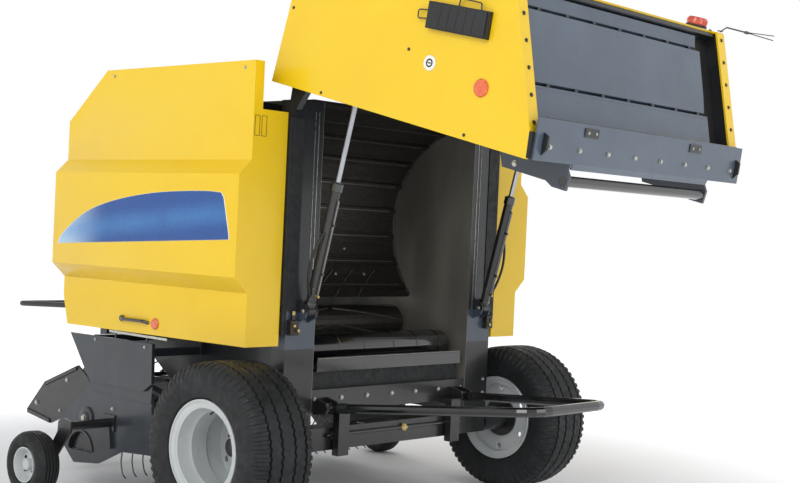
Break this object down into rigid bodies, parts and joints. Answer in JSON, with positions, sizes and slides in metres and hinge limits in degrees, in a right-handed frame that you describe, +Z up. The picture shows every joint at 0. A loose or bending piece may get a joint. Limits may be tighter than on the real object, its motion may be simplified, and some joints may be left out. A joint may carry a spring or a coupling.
{
  "type": "towed round baler",
  "caption": "Towed round baler on its parking jack, yellow side shields and raised tailgate, pickup reel with gauge wheels, bale kicker, drawbar and driveline.",
  "frame": {"origin": "centre of the machine's box, on the ground", "axes": "+X forward to the hitch, +Y to the machine's left, +Z up"},
  "size_m": [5.0594, 2.94, 2.9487],
  "materials": {
    "yellow_paint": "satin",
    "steel_grey_paint": "satin",
    "black_paint": "satin",
    "dark_grey_paint": "satin",
    "silver_paint": "satin",
    "tyre_rubber": "matt",
    "worn_steel": "worn",
    "chrome_rod": "polished",
    "black_plastic": "matt",
    "amber_lens": "gloss"
  },
  "bodies": {
    "chassis": {"axle_beam": "black_paint", "left_side_frame": "steel_grey_paint", "right_side_frame": "steel_grey_paint", "left_lower_skirt": "dark_grey_paint", "right_lower_skirt": "dark_grey_paint", "rear_bolt_plate": "black_paint", "floor_sill": "black_paint", "chamber_apron": "black_paint", "front_cross_beam": "steel_grey_paint", "top_cross_beam": "steel_grey_paint", "drawbar": "steel_grey_paint", "hitch": "black_paint", "gearbox": "dark_grey_paint", "drive_case": "black_paint", "net_box": "dark_grey_paint", "top_cover": "black_paint", "hose_loop": "black_paint", "jack_sleeve": "black_paint"},
    "jack_leg": {"jack_leg": "worn_steel"},
    "left_wheel": {"left_tyre": "tyre_rubber", "left_rim": "silver_paint", "left_hub": "black_paint"},
    "right_wheel": {"right_tyre": "tyre_rubber", "right_rim": "silver_paint", "right_hub": "black_paint"},
    "left_shield_door": {"left_shield_door": "yellow_paint"},
    "right_shield_door": {"right_shield_door": "yellow_paint"},
    "tailgate": {"tailgate_left_side": "yellow_paint", "tailgate_right_side": "yellow_paint", "tailgate_frame": "steel_grey_paint", "tailgate_rear_plates": "steel_grey_paint", "tailgate_bolt_plate": "black_paint", "tailgate_rear_cover": "yellow_paint", "tailgate_apron": "black_paint", "tail_lamp": "amber_lens", "document_box": "black_plastic"},
    "tailgate_roller": {"tailgate_roller": "worn_steel"},
    "left_cylinder_barrel": {"left_cylinder_barrel": "black_paint"},
    "left_cylinder_rod": {"left_cylinder_rod": "chrome_rod"},
    "right_cylinder_barrel": {"right_cylinder_barrel": "black_paint"},
    "right_cylinder_rod": {"right_cylinder_rod": "chrome_rod"},
    "floor_roller": {"floor_roller": "worn_steel"},
    "starter_roller": {"starter_roller": "worn_steel"},
    "feed_rotor": {"feed_rotor": "worn_steel"},
    "net_box_lid": {"net_box_lid": "yellow_paint"},
    "pto_shaft": {"pto_shaft": "black_plastic"},
    "kicker": {"kicker_frame": "black_paint"},
    "pickup": {"pickup_frame": "dark_grey_paint", "left_pickup_side": "dark_grey_paint", "right_pickup_side": "dark_grey_paint", "left_gauge_arm": "black_paint", "right_gauge_arm": "black_paint"},
    "pickup_reel": {"pickup_reel": "worn_steel"},
    "wind_guard": {"wind_guard": "black_paint"},
    "left_gauge_wheel": {"left_gauge_tyre": "tyre_rubber", "left_gauge_rim": "silver_paint"},
    "right_gauge_wheel": {"right_gauge_tyre": "tyre_rubber", "right_gauge_rim": "silver_paint"}
  },
  "joints": [
    {"name": "tailgate_hinge", "type": "hinge", "parent": "chassis", "child": "tailgate", "pos_m": [-0.99228, 0, 2.29], "axis": [0, 1, 0], "range_deg": [-76.2, 0]},
    {"name": "left_wheel_spin", "type": "hinge", "parent": "chassis", "child": "left_wheel", "pos_m": [-0.91228, 1.157, 0.433], "axis": [0, 1, 0], "continuous": true},
    {"name": "left_shield_lift", "type": "hinge", "parent": "chassis", "child": "left_shield_door", "pos_m": [-0.11228, 1, 2.36], "axis": [1, 0, 0], "range_deg": [0, 80]},
    {"name": "left_cylinder_swing", "type": "hinge", "parent": "chassis", "child": "left_cylinder_barrel", "pos_m": [-0.98428, 0.72, 1.11], "axis": [0, 1, 0], "range_deg": [-0.2, 12.06]},
    {"name": "left_cylinder_slide", "type": "slide", "parent": "left_cylinder_barrel", "child": "left_cylinder_rod", "axis": [-0.2446, 0, 0.9696], "range_m": [-0.2771, 0.001]},
    {"name": "left_gauge_spin", "type": "hinge", "parent": "pickup", "child": "left_gauge_wheel", "pos_m": [0.41772, 1.4, 0.18], "axis": [0, 1, 0], "continuous": true},
    {"name": "right_wheel_spin", "type": "hinge", "parent": "chassis", "child": "right_wheel", "pos_m": [-0.91228, -1.157, 0.433], "axis": [0, 1, 0], "continuous": true},
    {"name": "right_shield_lift", "type": "hinge", "parent": "chassis", "child": "right_shield_door", "pos_m": [-0.11228, -1, 2.36], "axis": [-1, 0, 0], "range_deg": [0, 80]},
    {"name": "right_cylinder_swing", "type": "hinge", "parent": "chassis", "child": "right_cylinder_barrel", "pos_m": [-0.98428, -0.72, 1.11], "axis": [0, 1, 0], "range_deg": [-0.2, 12.06]},
    {"name": "right_cylinder_slide", "type": "slide", "parent": "right_cylinder_barrel", "child": "right_cylinder_rod", "axis": [-0.2446, 0, 0.9696], "range_m": [-0.2771, 0.001]},
    {"name": "right_gauge_spin", "type": "hinge", "parent": "pickup", "child": "right_gauge_wheel", "pos_m": [0.41772, -1.4, 0.18], "axis": [0, 1, 0], "continuous": true},
    {"name": "tailgate_roller_spin", "type": "hinge", "parent": "tailgate", "child": "tailgate_roller", "pos_m": [-2.45971, 0, 1.79982], "axis": [0, 1, 0], "continuous": true},
    {"name": "floor_roller_spin", "type": "hinge", "parent": "chassis", "child": "floor_roller", "pos_m": [-0.76228, 0, 0.89], "axis": [0, 1, 0], "continuous": true},
    {"name": "starter_roller_spin", "type": "hinge", "parent": "chassis", "child": "starter_roller", "pos_m": [-0.36728, 0, 0.985], "axis": [0, 1, 0], "continuous": true},
    {"name": "feed_rotor_spin", "type": "hinge", "parent": "chassis", "child": "feed_rotor", "pos_m": [-0.01228, 0, 0.69], "axis": [0, 1, 0], "continuous": true},
    {"name": "pickup_lift", "type": "hinge", "parent": "chassis", "child": "pickup", "pos_m": [-0.01228, 0, 0.62], "axis": [0, -1, 0], "range_deg": [0, 8]},
    {"name": "pickup_reel_spin", "type": "hinge", "parent": "pickup", "child": "pickup_reel", "pos_m": [0.46772, 0, 0.4], "axis": [0, 1, 0], "continuous": true},
    {"name": "wind_guard_lift", "type": "hinge", "parent": "pickup", "child": "wind_guard", "pos_m": [0.48772, 0, 0.51], "axis": [0, -1, 0], "range_deg": [0, 12]},
    {"name": "kicker_hinge", "type": "hinge", "parent": "chassis", "child": "kicker", "pos_m": [-1.00228, 0, 0.6], "axis": [0, 1, 0], "range_deg": [-15, 8]},
    {"name": "net_lid_hinge", "type": "hinge", "parent": "chassis", "child": "net_box_lid", "pos_m": [0.54802, 0, 1.89], "axis": [0, -1, 0], "range_deg": [0, 80]},
    {"name": "pto_spin", "type": "hinge", "parent": "chassis", "child": "pto_shaft", "pos_m": [0.99729, 0, 1.16], "axis": [0.9511, 0, -0.309], "continuous": true},
    {"name": "jack_slide", "type": "slide", "parent": "chassis", "child": "jack_leg", "axis": [0, 0, 1], "range_m": [-0.12, 0]}
  ],
  "couplings": [
    {"joint": "left_cylinder_swing", "follows": "tailgate_hinge", "ratio": -0.15568},
    {"joint": "left_cylinder_slide", "follows": "tailgate_hinge", "m_per_rad": 0.20764},
    {"joint": "right_cylinder_swing", "follows": "tailgate_hinge", "ratio": -0.15568},
    {"joint": "right_cylinder_slide", "follows": "tailgate_hinge", "m_per_rad": 0.20764}
  ]
}
